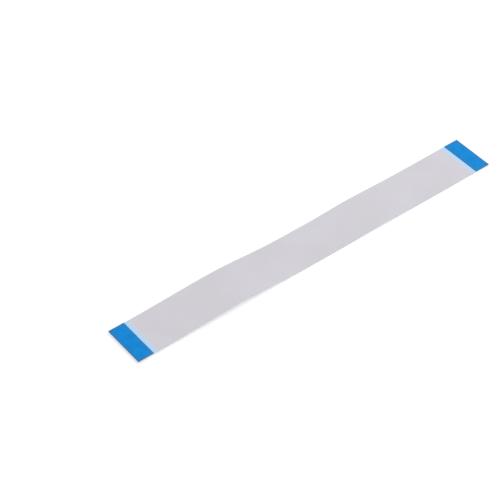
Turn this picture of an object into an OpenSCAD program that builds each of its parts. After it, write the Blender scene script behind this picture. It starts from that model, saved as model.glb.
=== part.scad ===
// Flat flexible ribbon cable with stiffened plug-in ends.
// The cable runs along X. It rests on a short stretch of its underside near the middle, and
// rises softly to both sides of it, as such a cable lies when nothing holds its ends down.
// Two films close round a row of flat conductors. The bottom film stops short of each tip,
// which bares the conductors as contacts on the underside, and a stiffener on the top film
// brings each end to the thickness that a connector grips.
// The origin is at the middle of the cable, on the surface that it rests on.

/* [Cable] */
// Length of the cable from tip to tip
cable_l = 200; // [120:5:400]
// Number of conductors that lie side by side
conductor_count = 43; // [6:1:56]
// Distance between the centres of neighbouring conductors
pitch = 0.5; // [0.45:0.05:1.25]
// Distance from the centre of an outermost conductor to the long edge
edge_margin = 0.5; // [0.35:0.05:1.5]

/* [Conductors] */
// Width of one flat conductor
conductor_w = 0.3; // [0.2:0.01:0.4]
// Thickness of one flat conductor
conductor_t = 0.035; // [0.03:0.005:0.1]
// Height by which the bare contacts stand proud of the film between them
contact_proud = 0.0175; // [0.005:0.0025:0.0275]

/* [Films] */
// Thickness of the top film over the conductors
top_film_t = 0.0425; // [0.02:0.0025:0.09]
// Thickness of the bottom film under the conductors
bottom_film_t = 0.0425; // [0.02:0.0025:0.1]

/* [Ends] */
// Length of bare contact at each end
contact_l = 4; // [2:0.5:5.5]
// Length of each stiffener
stiffener_l = 8; // [6:0.5:15]
// Thickness of the plug-in end, from the contacts to the top of the stiffener
tab_t = 0.3; // [0.25:0.01:0.4]

/* [Lie] */
// Length of the flat stretch in the middle that the cable rests on
rest_l = 18; // [2:1:24]
// Height of the left tip above the surface
left_tip_rise = 0.8; // [0:0.1:3]
// Height of the soft rise between the left tip and the middle
left_rise = 2; // [0:0.1:4]
// Height of the soft rise to the right of the middle
right_rise = 0.8; // [0:0.1:4]
// Height of the dip between that rise and the right tip
right_dip = 0.2; // [0:0.1:2]
// Height of the right tip above the surface
right_tip_rise = 0.4; // [0:0.1:3]
// Length of the straight steps that draw the soft bends, about
bend_step = 14; // [10:1:30]

/* [Hidden] */
// The width follows the row of conductors and its two margins
cable_w = (conductor_count - 1) * pitch + 2 * edge_margin;

// Heights of the layers above the underside of the bottom film
conductor_bottom_z = bottom_film_t;
conductor_top_z = conductor_bottom_z + conductor_t;
film_top_z = conductor_top_z + top_film_t;
stiffener_top_z = conductor_bottom_z + tab_t;

// Places along and across the cable
tip_x = cable_l / 2;
contact_inner_x = tip_x - contact_l;
stiffener_inner_x = tip_x - stiffener_l;
side_y = cable_w / 2;
first_conductor_y = edge_margin - side_y;

// Cutters run past the faces that they open
overcut = 1;

// Places and heights at which the cable turns from rising to falling, from left to right. It
// bends only between the stiffeners, and each stiffened end lies level at the height of its tip.
TURNS = [
    [-stiffener_inner_x, left_tip_rise],
    [-stiffener_inner_x / 2, left_rise],
    [-rest_l / 2, 0],
    [rest_l / 2, 0],
    [stiffener_inner_x / 3, right_rise],
    [stiffener_inner_x * 2 / 3, right_dip],
    [stiffener_inner_x, right_tip_rise]
];
last_turn = len(TURNS) - 1;

// Share of the way between two turns, eased at both so that the cable has no kink there
function eased(share) = share * share * (3 - 2 * share);
function share_between(x, from_x, to_x) = min(1, max(0, (x - from_x) / (to_x - from_x)));

// Height of the underside above the surface, as the sum of the climbs between the turns
function climb(i, x) =
    (TURNS[i + 1].y - TURNS[i].y) * eased(share_between(x, TURNS[i].x, TURNS[i + 1].x));
function lift(x, i = 0) =
    i == last_turn ? TURNS[0].y : climb(i, x) + lift(x, i + 1);

// Places where the straight steps meet. A stretch between turns of the same height is one step.
function step_count(i) =
    TURNS[i].y == TURNS[i + 1].y ? 1
    : max(2, round((TURNS[i + 1].x - TURNS[i].x) / bend_step));
BENDS = [
    for (i = [0 : last_turn - 1], k = [0 : step_count(i) - 1])
        TURNS[i].x + k * (TURNS[i + 1].x - TURNS[i].x) / step_count(i),
    TURNS[last_turn].x
];

function stations(from_x, to_x) =
    concat(from_x, [for (x = BENDS) if (x > from_x && x < to_x) x], to_x);

function conductor_name(n) = str("conductor_", n < 10 ? "0" : "", n);
function conductor_y(n) = first_conductor_y + (n - 1) * pitch;

// Layer that follows the lie of the cable, between two heights above its underside
module layer(from_x, to_x, low_z, high_z, width, mid_y = 0) {
    xs = stations(from_x, to_x);
    lower_side = [for (x = xs) [x, lift(x) + low_z]];
    upper_side = [for (i = [len(xs) - 1 : -1 : 0]) [xs[i], lift(xs[i]) + high_z]];
    translate([0, mid_y + width / 2, 0])
        rotate([90, 0, 0])
            linear_extrude(width) polygon(concat(lower_side, upper_side));
}

module conductor(n) {
    color([0.62, 0.63, 0.65])
        layer(-tip_x, tip_x, conductor_bottom_z, conductor_top_z, conductor_w, conductor_y(n));
}

// Channel in the top film that one conductor lies in
module conductor_channel(n) {
    layer(
        -tip_x - overcut, tip_x + overcut,
        conductor_bottom_z - overcut, conductor_top_z,
        conductor_w, conductor_y(n)
    );
}

// Space that leaves the contacts standing proud at one end
module contact_relief(from_x, to_x) {
    layer(
        from_x, to_x,
        conductor_bottom_z - overcut, conductor_bottom_z + contact_proud,
        cable_w + 2 * overcut
    );
}

// The ribs between its channels fill the gaps between the conductors and reach the bottom film
module top_film() {
    color([0.82, 0.81, 0.84])
        difference() {
            layer(-tip_x, tip_x, conductor_bottom_z, film_top_z, cable_w);
            for (n = [1 : conductor_count]) conductor_channel(n);
            contact_relief(-tip_x - overcut, -contact_inner_x);
            contact_relief(contact_inner_x, tip_x + overcut);
        }
}

module bottom_film() {
    color([0.86, 0.86, 0.89])
        layer(-contact_inner_x, contact_inner_x, 0, bottom_film_t, cable_w);
}

module stiffener(from_x, to_x) {
    color([0.09, 0.52, 0.84])
        layer(from_x, to_x, film_top_z, stiffener_top_z, cable_w);
}

top_film();
bottom_film();
stiffener(-tip_x, -stiffener_inner_x);  // stiffener_left
stiffener(stiffener_inner_x, tip_x);  // stiffener_right
for (n = [1 : conductor_count])
    conductor(n);
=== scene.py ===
import math

import bmesh
import bpy
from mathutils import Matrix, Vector


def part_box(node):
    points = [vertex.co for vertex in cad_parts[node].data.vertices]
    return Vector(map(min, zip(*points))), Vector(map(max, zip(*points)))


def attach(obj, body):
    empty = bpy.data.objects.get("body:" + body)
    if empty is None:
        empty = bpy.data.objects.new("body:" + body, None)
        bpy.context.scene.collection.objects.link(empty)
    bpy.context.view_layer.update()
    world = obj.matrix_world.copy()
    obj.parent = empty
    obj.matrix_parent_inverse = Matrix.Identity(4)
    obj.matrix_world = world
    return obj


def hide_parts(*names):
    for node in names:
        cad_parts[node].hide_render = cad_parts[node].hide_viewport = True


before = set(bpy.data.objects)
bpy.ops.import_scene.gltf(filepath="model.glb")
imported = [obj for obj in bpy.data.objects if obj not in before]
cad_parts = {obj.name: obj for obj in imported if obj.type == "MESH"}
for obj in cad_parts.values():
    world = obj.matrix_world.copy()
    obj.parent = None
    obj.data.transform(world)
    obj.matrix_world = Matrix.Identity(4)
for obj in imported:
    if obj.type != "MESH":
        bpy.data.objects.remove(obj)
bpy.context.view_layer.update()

# Lengths are in metres
MM = 0.001
MICRON = 1e-6

# How the cable lies: it rests on a stretch at its middle and rises softly to both sides of it
REST_LENGTH = 18 * MM
LEFT_TIP_RISE = 0.8 * MM
LEFT_RISE = 2.0 * MM
RIGHT_RISE = 0.8 * MM
RIGHT_DIP = 0.2 * MM
RIGHT_TIP_RISE = 0.4 * MM

# The row of conductors, and how far their bare contacts stand proud of the film between them
CONDUCTOR_COUNT = 43
PITCH = 0.5 * MM
FIRST_CONDUCTOR_Y = -(CONDUCTOR_COUNT - 1) * PITCH / 2
CONTACT_PROUD = 17.5 * MICRON

# Ends and sides of the layers, from the frame
TIP_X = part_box("top_film")[1].x
SIDE_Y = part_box("top_film")[1].y
CONTACT_INNER_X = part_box("bottom_film")[1].x
STIFFENER_INNER_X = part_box("stiffener_right")[0].x

# Heights of the layers where the cable rests. The left tape lies on film that is up by the rise
# of the tip, and the box of the middle conductor goes from the rest up to the left rise.
CONDUCTOR_LOW, CONDUCTOR_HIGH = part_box("conductor_22")
CONDUCTOR_WIDTH = CONDUCTOR_HIGH.y - CONDUCTOR_LOW.y
CONDUCTOR_BOTTOM_Z = CONDUCTOR_LOW.z
CONDUCTOR_TOP_Z = CONDUCTOR_HIGH.z - LEFT_RISE
CONDUCTOR_THICKNESS = CONDUCTOR_TOP_Z - CONDUCTOR_BOTTOM_Z
FILM_TOP_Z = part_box("stiffener_left")[0].z - LEFT_TIP_RISE

# The edges of a conductor are rounded by this share of its thickness
EDGE_SHARE = 0.4

# Both films show each conductor as a faint ridge with sloping sides
RIDGE_HEIGHT = 4 * MICRON
RIDGE_SLOPE = 0.06 * MM

# The upper edges of the stiffeners are softly rounded
TAPE_ROUNDING = 0.04 * MM
TAPE_ROUNDING_STEPS = 3
ROUND_PROFILE = 0.5

# How fine the meshes and the path of the cord are
FILM_STEP = 3 * MM
PATH_STEP = 8 * MM
SHARP_CORNER_DEGREES = 30.0

# Viewpoint of the picture, with its angles in degrees
CAMERA_AZIMUTH = -38.053
CAMERA_ELEVATION = 44.655
CAMERA_DISTANCE = 0.7697
CAMERA_TARGET = (-0.02213, 0.01335, 0.0)
CAMERA_NEAREST = 0.01
FOCAL_PIXELS = 1738.6
PICTURE_PIXELS = 500.0
SENSOR_MM = 36.0

# Colours of the finishes, each with the shade that it wanders to
TOP_WHITE = (0.64, 0.625, 0.672, 1.0)
TOP_WHITE_SHADE = (0.615, 0.602, 0.642, 1.0)
BOTTOM_WHITE = (0.68, 0.675, 0.75, 1.0)
BOTTOM_WHITE_SHADE = (0.65, 0.645, 0.71, 1.0)
TAPE_BLUE = (0.0, 0.25, 0.70, 1.0)
TAPE_BLUE_SHADE = (0.0, 0.215, 0.60, 1.0)
TIN_SHADE = (0.22, 0.23, 0.25, 1.0)
TIN_LIGHT = (0.34, 0.35, 0.38, 1.0)

# Colours that lie over them in places
CONDUCTOR_STRIPE = (0.3, 0.3, 0.33, 1.0)
# Painted blue glow that the film shows beside the tapes
PAINTED_BLUE_GLOW = (0.43, 0.68, 0.98, 1.0)
# Painted shade on the film between the bare contacts, tinted with the tape's blue
PAINTED_SHADE_BETWEEN_CONTACTS = (0.46, 0.53, 0.62, 1.0)
INK = (0.12, 0.11, 0.22, 1.0)
# Painted shade along the rim of each tape
PAINTED_TAPE_RIM_SHADE = (0.03, 0.2, 0.43, 1.0)

# Levels of a pattern between which a colour goes over to its shade, and a roughness from low to high
COLOUR_LEVELS = (0.3, 0.7)
ROUGHNESS_LEVELS = (0.2, 0.8)

# The stage. Its paint under the lamps and its glow come out just white together.
FLOOR_SIZE = 6.0
FLOOR_CLEARANCE = 0.02 * MM
FLOOR_PAINT = 0.5
FLOOR_GLOW = 0.53
SKY_STRENGTH = 0.62
WHITE = (1.0, 1.0, 1.0, 1.0)

# Sizes of the lie, by the names of its tree's inputs
LIE_SIZES = {
    "Free half length": STIFFENER_INNER_X,
    "Rest length": REST_LENGTH,
    "Rest height": 0.0,
    "Left tip rise": LEFT_TIP_RISE,
    "Left rise": LEFT_RISE,
    "Right rise": RIGHT_RISE,
    "Right dip": RIGHT_DIP,
    "Right tip rise": RIGHT_TIP_RISE,
}

# Places and heights at which the cable turns from rising to falling, from left to right. A place
# is told by the name of a length, and by how many times that length it is from the middle.
TURNS = (
    ("Free half length", -1.0, "Left tip rise"),
    ("Free half length", -1 / 2, "Left rise"),
    ("Rest length", -1 / 2, "Rest height"),
    ("Rest length", 1 / 2, "Rest height"),
    ("Free half length", 1 / 3, "Right rise"),
    ("Free half length", 2 / 3, "Right dip"),
    ("Free half length", 1.0, "Right tip rise"),
)

# Sizes of the row of conductors, by the names of its tree's inputs
ROW_SIZES = {
    "Count": CONDUCTOR_COUNT,
    "Pitch": PITCH,
    "Half length": TIP_X,
    "Width": CONDUCTOR_WIDTH,
    "Thickness": CONDUCTOR_THICKNESS,
    "Edge radius": EDGE_SHARE * CONDUCTOR_THICKNESS,
    "Middle height": (CONDUCTOR_BOTTOM_Z + CONDUCTOR_TOP_Z) / 2,
    "Points in a corner": 3,
    "Points along": 64,
}


def lift(x):
    """Height of the cable's underside above the surface, at a place along it."""
    turns = [(LIE_SIZES[length] * times, LIE_SIZES[rise]) for length, times, rise in TURNS]
    height = turns[0][1]
    for (from_x, from_z), (to_x, to_z) in zip(turns, turns[1:]):
        share = min(1.0, max(0.0, (x - from_x) / (to_x - from_x)))
        height += (to_z - from_z) * share * share * (3 - 2 * share)
    return height


def spread(low, high, step):
    """Even places from one value to another, about a step apart."""
    count = max(1, round((high - low) / step))
    return [low + (high - low) * i / count for i in range(count + 1)]


def middle_line():
    """Points along the cable, at the middle of its width and thickness."""
    return [(x, 0.0, lift(x) + FILM_TOP_Z / 2) for x in spread(-TIP_X, TIP_X, PATH_STEP)]


def make_camera():
    azimuth, elevation = math.radians(CAMERA_AZIMUTH), math.radians(CAMERA_ELEVATION)
    back = Vector((
        math.sin(azimuth) * math.cos(elevation),
        -math.cos(azimuth) * math.cos(elevation),
        math.sin(elevation),
    ))
    camera = bpy.data.objects.new("camera", bpy.data.cameras.new("camera"))
    camera.location = Vector(CAMERA_TARGET) + CAMERA_DISTANCE * back
    camera.rotation_euler = (-back).to_track_quat("-Z", "Y").to_euler()
    camera.data.sensor_width = SENSOR_MM
    camera.data.lens = FOCAL_PIXELS / PICTURE_PIXELS * SENSOR_MM
    camera.data.clip_start = CAMERA_NEAREST
    bpy.context.scene.collection.objects.link(camera)
    bpy.context.scene.camera = camera


class Nodes:
    """Short way to add nodes to a tree and join their sockets."""

    def __init__(self, tree):
        self.tree = tree

    def add(self, kind, settings=None, **sockets):
        """New node, with a value or a link for each socket that is named."""
        node = self.tree.nodes.new(kind)
        for key, value in (settings or {}).items():
            setattr(node, key, value)
        for key, value in sockets.items():
            self.feed(node.inputs[key.replace("_", " ")], value)
        return node

    def feed(self, socket, value):
        """Links a socket to another one, or sets it to a value."""
        if isinstance(value, bpy.types.NodeSocket):
            self.tree.links.new(value, socket)
        else:
            socket.default_value = value

    def math(self, operation, *values):
        node = self.add("ShaderNodeMath", {"operation": operation})
        for socket, value in zip(node.inputs, values):
            self.feed(socket, value)
        return node.outputs[0]

    def smooth(self, value, low, high, to_low=0.0, to_high=1.0):
        """Soft step of a value from one level to another."""
        node = self.add(
            "ShaderNodeMapRange",
            {"interpolation_type": "SMOOTHSTEP"},
            Value=value,
            From_Min=low,
            From_Max=high,
            To_Min=to_low,
            To_Max=to_high,
        )
        return node.outputs["Result"]

    def mix_colour(self, amount, first, second):
        """Mix of two colours. The mix node also has hidden sockets of the same names for numbers
        and directions, so its colour sockets are taken by their places."""
        first_colour, second_colour, mixed_colour = 6, 7, 2
        node = self.add("ShaderNodeMix", {"data_type": "RGBA"}, Factor=amount)
        self.feed(node.inputs[first_colour], first)
        self.feed(node.inputs[second_colour], second)
        return node.outputs[mixed_colour]

    def axis(self, place, name):
        """One axis of a place."""
        return self.add("ShaderNodeSeparateXYZ", Vector=place).outputs[name]


def new_tree(name, sizes, takes_layer=False):
    """Tree that gives one shape. Its inputs are a finish, named sizes and, where it takes one, a
    flat layer."""
    tree = bpy.data.node_groups.new(name, "GeometryNodeTree")
    sockets = tree.interface
    sockets.new_socket("Shape", in_out="OUTPUT", socket_type="NodeSocketGeometry")
    if takes_layer:
        sockets.new_socket("Flat layer", in_out="INPUT", socket_type="NodeSocketGeometry")
    sockets.new_socket("Finish", in_out="INPUT", socket_type="NodeSocketMaterial")
    for label, size in sizes.items():
        kind = "NodeSocketInt" if isinstance(size, int) else "NodeSocketFloat"
        sockets.new_socket(label, in_out="INPUT", socket_type=kind).default_value = size
    return tree


def end_tree(n, shape, finish):
    """Ends a tree with a real mesh and its finish."""
    real = n.add("GeometryNodeRealizeInstances", Geometry=shape)
    done = n.add("GeometryNodeSetMaterial", Geometry=real.outputs[0], Material=finish)
    n.add("NodeGroupOutput", Shape=done.outputs[0])


def lie_tree():
    """Lets a flat layer follow the lie of the cable, as the sum of the climbs between its turns."""
    tree = new_tree("lie of the cable", LIE_SIZES, takes_layer=True)
    n = Nodes(tree)
    given = n.add("NodeGroupInput").outputs
    x = n.axis(n.add("GeometryNodeInputPosition").outputs[0], "X")
    turns = [(n.math("MULTIPLY", given[length], times), given[rise]) for length, times, rise in TURNS]
    height = turns[0][1]
    for (from_x, from_z), (to_x, to_z) in zip(turns, turns[1:]):
        climb = n.math("SUBTRACT", to_z, from_z)
        height = n.math("ADD", height, n.smooth(x, from_x, to_x, 0.0, climb))
    upwards = n.add("ShaderNodeCombineXYZ", Z=height).outputs[0]
    moved = n.add("GeometryNodeSetPosition", Geometry=given["Flat layer"], Offset=upwards)
    end_tree(n, moved.outputs[0], given["Finish"])
    return tree


def conductor_tree(lie):
    """Draws one flat conductor, repeats it across the cable and lets the row follow the lie."""
    tree = new_tree("row of conductors", ROW_SIZES)
    n = Nodes(tree)
    given = n.add("NodeGroupInput").outputs
    left_tip = n.add("ShaderNodeCombineXYZ", X=n.math("MULTIPLY", given["Half length"], -1.0))
    right_tip = n.add("ShaderNodeCombineXYZ", X=given["Half length"])
    line = n.add("GeometryNodeCurvePrimitiveLine", Start=left_tip.outputs[0], End=right_tip.outputs[0])
    path = n.add("GeometryNodeResampleCurve", Curve=line.outputs[0], Count=given["Points along"])
    block = n.add(
        "GeometryNodeCurvePrimitiveQuadrilateral", Width=given["Width"], Height=given["Thickness"]
    )
    section = n.add(
        "GeometryNodeFilletCurve",
        {"mode": "POLY"},
        Curve=block.outputs[0],
        Radius=given["Edge radius"],
        Count=given["Points in a corner"],
    )
    strip = n.add(
        "GeometryNodeCurveToMesh",
        Curve=path.outputs[0],
        Profile_Curve=section.outputs[0],
        Fill_Caps=True,
    )
    gaps = n.math("SUBTRACT", given["Count"], 1.0)
    first_y = n.math("MULTIPLY", n.math("MULTIPLY", gaps, given["Pitch"]), -1 / 2)
    first = n.add("ShaderNodeCombineXYZ", Y=first_y, Z=given["Middle height"])
    step = n.add("ShaderNodeCombineXYZ", Y=given["Pitch"])
    places = n.add(
        "GeometryNodeMeshLine",
        Count=given["Count"],
        Start_Location=first.outputs[0],
        Offset=step.outputs[0],
    )
    copies = n.add(
        "GeometryNodeInstanceOnPoints", Points=places.outputs[0], Instance=strip.outputs[0]
    )
    flat_row = n.add("GeometryNodeRealizeInstances", Geometry=copies.outputs[0]).outputs[0]
    finish = given["Finish"]
    laid = n.add("GeometryNodeGroup", {"node_tree": lie}, Flat_layer=flat_row, Finish=finish)
    end_tree(n, laid.outputs[0], finish)
    return tree


def new_piece(mesh):
    """Object with the name of its mesh."""
    piece = bpy.data.objects.new(mesh.name, mesh)
    bpy.context.scene.collection.objects.link(piece)
    return piece


def shade(piece):
    """Smooth shading, apart from real corners."""
    piece.data.shade_smooth()
    piece.data.set_sharp_from_angle(angle=math.radians(SHARP_CORNER_DEGREES))


def piece_from_tree(mesh, tree, sizes, finish):
    """Piece that a tree makes of a mesh, kept as a plain mesh."""
    piece = new_piece(mesh)
    modifier = piece.modifiers.new("shape", "NODES")
    modifier.node_group = tree
    for label, value in {**sizes, "Finish": finish}.items():
        modifier[tree.interface.items_tree[label].identifier] = value
    bpy.context.view_layer.update()
    evaluated = piece.evaluated_get(bpy.context.evaluated_depsgraph_get())
    shape = bpy.data.meshes.new_from_object(evaluated)
    piece.modifiers.remove(modifier)
    piece.data = shape
    shape.name = piece.name
    shade(piece)
    return piece


def skin(name, rings):
    """Closed mesh through rings of points. Each ring goes along the lower side and back along the
    upper one, with as many points on each, so that the ends close with quads between the two."""
    shape = bmesh.new()
    rows = [[shape.verts.new(point) for point in ring] for ring in rings]
    count = len(rows[0])
    for near, far in zip(rows, rows[1:]):
        for i in range(count):
            j = (i + 1) % count
            shape.faces.new((near[i], near[j], far[j], far[i]))
    for end in (rows[0], rows[-1]):
        for i in range(count // 2 - 1):
            shape.faces.new((end[i], end[i + 1], end[-i - 2], end[-i - 1]))
    bmesh.ops.recalc_face_normals(shape, faces=shape.faces)
    mesh = bpy.data.meshes.new(name)
    shape.to_mesh(mesh)
    shape.free()
    return mesh


def conductor_places():
    return [FIRST_CONDUCTOR_Y + n * PITCH for n in range(CONDUCTOR_COUNT)]


def ridged_side(z, ridge):
    """Points across a film, from right to left, that step by the ridge at each conductor."""
    inner = (CONDUCTOR_WIDTH - RIDGE_SLOPE) / 2
    outer = (CONDUCTOR_WIDTH + RIDGE_SLOPE) / 2
    points = [(SIDE_Y, z)]
    for y in reversed(conductor_places()):
        points += [(y + outer, z), (y + inner, z + ridge), (y - inner, z + ridge), (y - outer, z)]
    points.append((-SIDE_Y, z))
    return points


def channelled_side(rib_z, channel_z):
    """Points across the underside of the top film, from left to right."""
    half = CONDUCTOR_WIDTH / 2
    points = [(-SIDE_Y, rib_z)]
    for y in conductor_places():
        points += [(y - half, rib_z), (y - half, channel_z), (y + half, channel_z), (y + half, rib_z)]
    points.append((SIDE_Y, rib_z))
    return points


def top_film(lie, finish):
    """Comb whose ribs fill the gaps between the conductors. They are cut back at the contacts, and
    the ridges end just before the tapes."""
    cut_length = 0.02 * MM
    gap_to_tape = 0.3 * MM
    ridge_end = STIFFENER_INNER_X - gap_to_tape
    outer = [STIFFENER_INNER_X, CONTACT_INNER_X, CONTACT_INNER_X + cut_length, TIP_X]
    stations = [-x for x in reversed(outer)] + spread(-ridge_end, ridge_end, FILM_STEP) + outer
    rings = []
    for x in stations:
        rib_z = CONDUCTOR_BOTTOM_Z + (CONTACT_PROUD if abs(x) > CONTACT_INNER_X else 0.0)
        ridge = RIDGE_HEIGHT if abs(x) <= ridge_end else 0.0
        section = channelled_side(rib_z, CONDUCTOR_TOP_Z) + ridged_side(FILM_TOP_Z, ridge)
        rings.append([(x, y, z) for y, z in section])
    return piece_from_tree(skin("top_film_sheet", rings), lie, LIE_SIZES, finish)


def bottom_film(lie, finish):
    """Flat film under the conductors. Its ridges reach down to its lowest level, and it is thinner
    between them."""
    under = ridged_side(RIDGE_HEIGHT, -RIDGE_HEIGHT)[::-1]
    over = ridged_side(CONDUCTOR_BOTTOM_Z, 0.0)
    stations = spread(-CONTACT_INNER_X, CONTACT_INNER_X, FILM_STEP)
    rings = [[(x, y, z) for y, z in under + over] for x in stations]
    return piece_from_tree(skin("bottom_film_sheet", rings), lie, LIE_SIZES, finish)


def conductors(lie, finish):
    """Row of conductors from tip to tip, which its tree draws from nothing."""
    empty = bpy.data.meshes.new("conductor_row")
    return piece_from_tree(empty, conductor_tree(lie), ROW_SIZES, finish)


def stiffener(name, node, finish):
    """Tape with softly rounded upper edges."""
    low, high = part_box(node)
    shape = bmesh.new()
    bmesh.ops.create_cube(shape, size=1.0)
    for vert in shape.verts:
        vert.co = Vector((
            low.x if vert.co.x < 0 else high.x,
            low.y if vert.co.y < 0 else high.y,
            low.z if vert.co.z < 0 else high.z,
        ))
    upper_edges = [edge for edge in shape.edges if min(vert.co.z for vert in edge.verts) > low.z]
    bmesh.ops.bevel(
        shape,
        geom=upper_edges,
        offset=TAPE_ROUNDING,
        segments=TAPE_ROUNDING_STEPS,
        profile=ROUND_PROFILE,
        affect="EDGES",
    )
    mesh = bpy.data.meshes.new(name)
    shape.to_mesh(mesh)
    shape.free()
    mesh.materials.append(finish)
    piece = new_piece(mesh)
    shade(piece)
    return piece


def new_material(name, **levels):
    """Material of one shader, with the levels that are the same all over the surface."""
    material = bpy.data.materials.new(name)
    material.use_nodes = True
    material.node_tree.nodes.clear()
    n = Nodes(material.node_tree)
    shader = n.add("ShaderNodeBsdfPrincipled", **levels)
    n.add("ShaderNodeOutputMaterial", Surface=shader.outputs[0])
    place = n.add("ShaderNodeTexCoord").outputs["Object"]
    return material, n, shader, place


def noise(n, place, scale, detail):
    return n.add("ShaderNodeTexNoise", Vector=place, Scale=scale, Detail=detail).outputs[0]


def stretched(n, place, scale):
    """Places with each axis scaled by its own number."""
    return n.add("ShaderNodeMapping", Vector=place, Scale=scale).outputs[0]


def clouded(n, pattern, colour, shade_colour):
    """Colour that wanders softly to its shade and back."""
    return n.mix_colour(n.smooth(pattern, *COLOUR_LEVELS), colour, shade_colour)


def roughen(n, shader, pattern, low, high):
    """Lets the roughness follow a pattern between two levels."""
    n.feed(shader.inputs["Roughness"], n.smooth(pattern, *ROUGHNESS_LEVELS, low, high))


def emboss(n, shader, pattern, strength, depth):
    """Lets the surface show a pattern as fine relief."""
    bump = n.add("ShaderNodeBump", Strength=strength, Distance=depth, Height=pattern)
    n.feed(shader.inputs["Normal"], bump.outputs[0])


def white_film(name, colour, shade_colour):
    """Pale film with a faint cloudiness and grain. A wave that peaks over each conductor lets them
    show through as soft stripes."""
    stripe_start = -0.6
    stripe_full = 0.4
    stripe_strength = 0.05
    material, n, shader, place = new_material(name, Specular_IOR_Level=0.3)
    base = clouded(n, noise(n, place, scale=45.0, detail=2.0), colour, shade_colour)
    y = n.axis(place, "Y")
    wave = n.math("COSINE", n.math("MULTIPLY", y, 2 * math.pi / PITCH))
    over_conductor = n.smooth(wave, stripe_start, stripe_full)
    inside = n.math("LESS_THAN", n.math("ABSOLUTE", y), PITCH / 2 - FIRST_CONDUCTOR_Y)
    stripe = n.math("MULTIPLY", n.math("MULTIPLY", over_conductor, inside), stripe_strength)
    emboss(n, shader, noise(n, place, scale=4000.0, detail=3.0), strength=0.12, depth=20 * MICRON)
    roughen(n, shader, noise(n, place, scale=120.0, detail=4.0), low=0.42, high=0.52)
    return material, n, shader, place, n.mix_colour(stripe, base, CONDUCTOR_STRIPE)


def top_film_finish():
    """White film with a painted blue glow beside the tapes, and painted shade tinted with the tape's
    blue between the contacts.
    """
    blue_full = 0.3 * MM
    blue_end = 3.2 * MM
    material, n, shader, place, colour = white_film("white film", TOP_WHITE, TOP_WHITE_SHADE)
    # Painted blue glow on the film, fading out away from each tape
    from_tape = n.math("SUBTRACT", STIFFENER_INNER_X, n.math("ABSOLUTE", n.axis(place, "X")))
    fade = n.smooth(from_tape, blue_full, blue_end, 1.0, 0.0)
    painted_glow = n.math("MULTIPLY", fade, n.math("GREATER_THAN", from_tape, 0.0))
    colour = n.mix_colour(painted_glow, colour, PAINTED_BLUE_GLOW)
    # Painted shade on the film between the bare contacts, tinted with the tape's blue
    painted_shade_at_contacts = n.math("LESS_THAN", from_tape, STIFFENER_INNER_X - CONTACT_INNER_X)
    colour = n.mix_colour(painted_shade_at_contacts, colour, PAINTED_SHADE_BETWEEN_CONTACTS)
    n.feed(shader.inputs["Base Color"], colour)
    return material


def bottom_film_finish():
    """White film with print."""
    name = "printed white film"
    material, n, shader, place, colour = white_film(name, BOTTOM_WHITE, BOTTOM_WHITE_SHADE)
    n.feed(shader.inputs["Base Color"], n.mix_colour(ink_mask(n, place), colour, INK))
    return material


def ink_mask(n, place):
    """Six rows of plain dashes along the cable, in blocks with bare bands between them. Each row
    lies a little farther to the left than the one in front of it."""
    row_pitch = 3.4 * MM
    row_height = 1.1 * MM
    soft_edge = 0.1 * MM
    row_shift = 0.94 * MM
    first_dash_x = 3.1 * MM - CONTACT_INNER_X
    block_length = 48.0 * MM
    dashes_in_block = 8
    dash_length = 5.2 * MM
    inked_share = 0.84
    half_rows = 3
    speckle_levels = (0.3, 0.6)
    thin_ink = 0.78
    thick_ink = 0.92
    x, y = n.axis(place, "X"), n.axis(place, "Y")
    row = n.math("FLOOR", n.math("DIVIDE", y, row_pitch))
    across = n.math("FRACT", n.math("DIVIDE", y, row_pitch))
    off_line = n.math("MULTIPLY", n.math("ABSOLUTE", n.math("SUBTRACT", across, 1 / 2)), row_pitch)
    on_line = n.smooth(off_line, row_height / 2 - soft_edge, row_height / 2, 1.0, 0.0)
    inside = n.math("LESS_THAN", n.math("ABSOLUTE", y), half_rows * row_pitch)
    along = n.math("ADD", n.math("SUBTRACT", x, first_dash_x), n.math("MULTIPLY", row, row_shift))
    in_block = n.math("MULTIPLY", n.math("FRACT", n.math("DIVIDE", along, block_length)), block_length)
    on_block = n.math("LESS_THAN", in_block, dashes_in_block * dash_length)
    in_dash = n.math("FRACT", n.math("DIVIDE", in_block, dash_length))
    on_dash = n.math("LESS_THAN", in_dash, inked_share)
    printed = n.math("MULTIPLY", n.math("MULTIPLY", on_line, on_block), on_dash)
    speckle = noise(n, place, scale=5000.0, detail=2.0)
    ink = n.smooth(speckle, *speckle_levels, thin_ink, thick_ink)
    return n.math("MULTIPLY", n.math("MULTIPLY", printed, inside), ink)


def tape_finish():
    """Blue tape with faint clouds, a fine grain and painted shade along its rim."""
    rim_full = 0.2 * MM
    rim_end = 1.8 * MM
    rim_strength = 0.8
    grain_stretch = (1.0, 6.0, 1.0)
    material, n, shader, place = new_material("blue tape", Specular_IOR_Level=0.12)
    colour = clouded(n, noise(n, place, scale=450.0, detail=3.0), TAPE_BLUE, TAPE_BLUE_SHADE)
    along, across = (n.math("ABSOLUTE", n.axis(place, name)) for name in "XY")
    from_inner = n.math("SUBTRACT", along, STIFFENER_INNER_X)
    from_tip = n.math("SUBTRACT", TIP_X, along)
    from_side = n.math("SUBTRACT", SIDE_Y, across)
    from_edge = n.math("MINIMUM", n.math("MINIMUM", from_inner, from_tip), from_side)
    # Painted shade that darkens the tape towards its edges
    painted_rim_shade = n.smooth(from_edge, rim_full, rim_end, rim_strength, 0.0)
    n.feed(shader.inputs["Base Color"], n.mix_colour(painted_rim_shade, colour, PAINTED_TAPE_RIM_SHADE))
    grain = noise(n, stretched(n, place, grain_stretch), scale=1500.0, detail=3.0)
    emboss(n, shader, grain, strength=0.15, depth=20 * MICRON)
    roughen(n, shader, noise(n, place, scale=900.0, detail=3.0), low=0.38, high=0.48)
    return material


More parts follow.
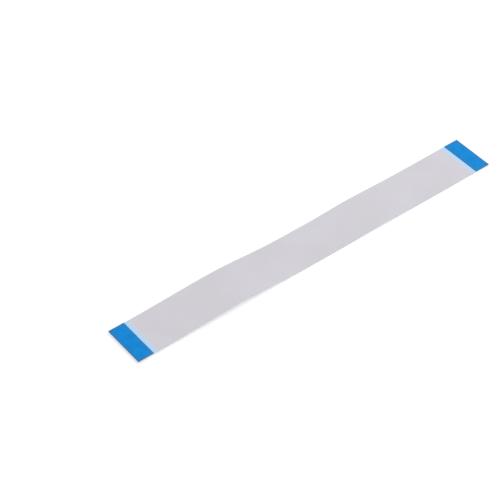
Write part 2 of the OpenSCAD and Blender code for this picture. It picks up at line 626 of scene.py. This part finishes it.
def tin_finish():
    """Tin plating with fine streaks along the conductors."""
    streak_stretch = (40.0, 3000.0, 3000.0)
    material, n, shader, place = new_material("tin plating", Metallic=1.0)
    streaks = noise(n, stretched(n, place, streak_stretch), scale=1.0, detail=3.0)
    n.feed(shader.inputs["Base Color"], n.mix_colour(streaks, TIN_SHADE, TIN_LIGHT))
    emboss(n, shader, streaks, strength=0.2, depth=10 * MICRON)
    roughen(n, shader, streaks, low=0.28, high=0.42)
    return material


def floor_material():
    """Just white to the camera, with the soft shadow kept. It is see-through from below and to
    soft light, so that the underside of the cable isn't black."""
    material = bpy.data.materials.new("studio floor")
    material.use_nodes = True
    material.node_tree.nodes.clear()
    n = Nodes(material.node_tree)
    light = n.add("ShaderNodeLightPath").outputs
    mirrored = n.math("MAXIMUM", light["Is Glossy Ray"], light["Is Transmission Ray"])
    seen = n.math("MAXIMUM", light["Is Camera Ray"], mirrored)
    paint = n.add("ShaderNodeBsdfDiffuse", Color=(FLOOR_PAINT, FLOOR_PAINT, FLOOR_PAINT, 1.0))
    glow = n.add("ShaderNodeEmission", Color=WHITE, Strength=n.math("MULTIPLY", seen, FLOOR_GLOW))
    solid = n.add("ShaderNodeAddShader")
    n.feed(solid.inputs[0], paint.outputs[0])
    n.feed(solid.inputs[1], glow.outputs[0])
    clear = n.add("ShaderNodeBsdfTransparent")
    from_below = n.add("ShaderNodeNewGeometry").outputs["Backfacing"]
    soft_light = n.math("MAXIMUM", light["Is Diffuse Ray"], light["Is Shadow Ray"])
    choice = n.add("ShaderNodeMixShader", Fac=n.math("MAXIMUM", from_below, soft_light))
    n.feed(choice.inputs[1], solid.outputs[0])
    n.feed(choice.inputs[2], clear.outputs[0])
    n.add("ShaderNodeOutputMaterial", Surface=choice.outputs[0])
    return material


def make_stage():
    bpy.ops.mesh.primitive_plane_add(size=FLOOR_SIZE, location=(0.0, 0.0, -FLOOR_CLEARANCE))
    floor = bpy.context.object
    floor.name = "floor"
    floor.data.materials.append(floor_material())
    world = bpy.data.worlds.new("studio")
    world.use_nodes = True
    background = world.node_tree.nodes["Background"]
    background.inputs["Color"].default_value = WHITE
    background.inputs["Strength"].default_value = SKY_STRENGTH
    bpy.context.scene.world = world
    add_softbox("key", place=(0.45, -0.1, 0.9), size=0.6, watts=4.15)
    add_softbox("fill", place=(-0.6, 0.5, 1.3), size=1.2, watts=3.0)


def add_softbox(name, place, size, watts):
    """Square lamp that faces the middle of the cable."""
    data = bpy.data.lights.new(name, "AREA")
    data.shape = "SQUARE"
    data.size = size
    data.energy = watts
    lamp = bpy.data.objects.new(name, data)
    lamp.location = place
    lamp.rotation_euler = (-Vector(place)).to_track_quat("-Z", "Y").to_euler()
    bpy.context.scene.collection.objects.link(lamp)


make_camera()
lie = lie_tree()
upper = top_film(lie, top_film_finish())
lower = bottom_film(lie, bottom_film_finish())
row = conductors(lie, tin_finish())
blue = tape_finish()
left_tape = stiffener("stiffener_tape_left", "stiffener_left", blue)
right_tape = stiffener("stiffener_tape_right", "stiffener_right", blue)

conductor_nodes = [f"conductor_{n:02d}" for n in range(1, CONDUCTOR_COUNT + 1)]
for piece, slot, nodes in (
    (upper, "top_film", ["top_film"]),
    (lower, "bottom_film", ["bottom_film"]),
    (row, "conductor", conductor_nodes),
    (left_tape, "stiffener", ["stiffener_left"]),
    (right_tape, "stiffener", ["stiffener_right"]),
):
    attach(piece, "root")
    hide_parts(*nodes)

cable_path = middle_line()

make_stage()
bpy.context.scene.view_settings.view_transform = "Standard"
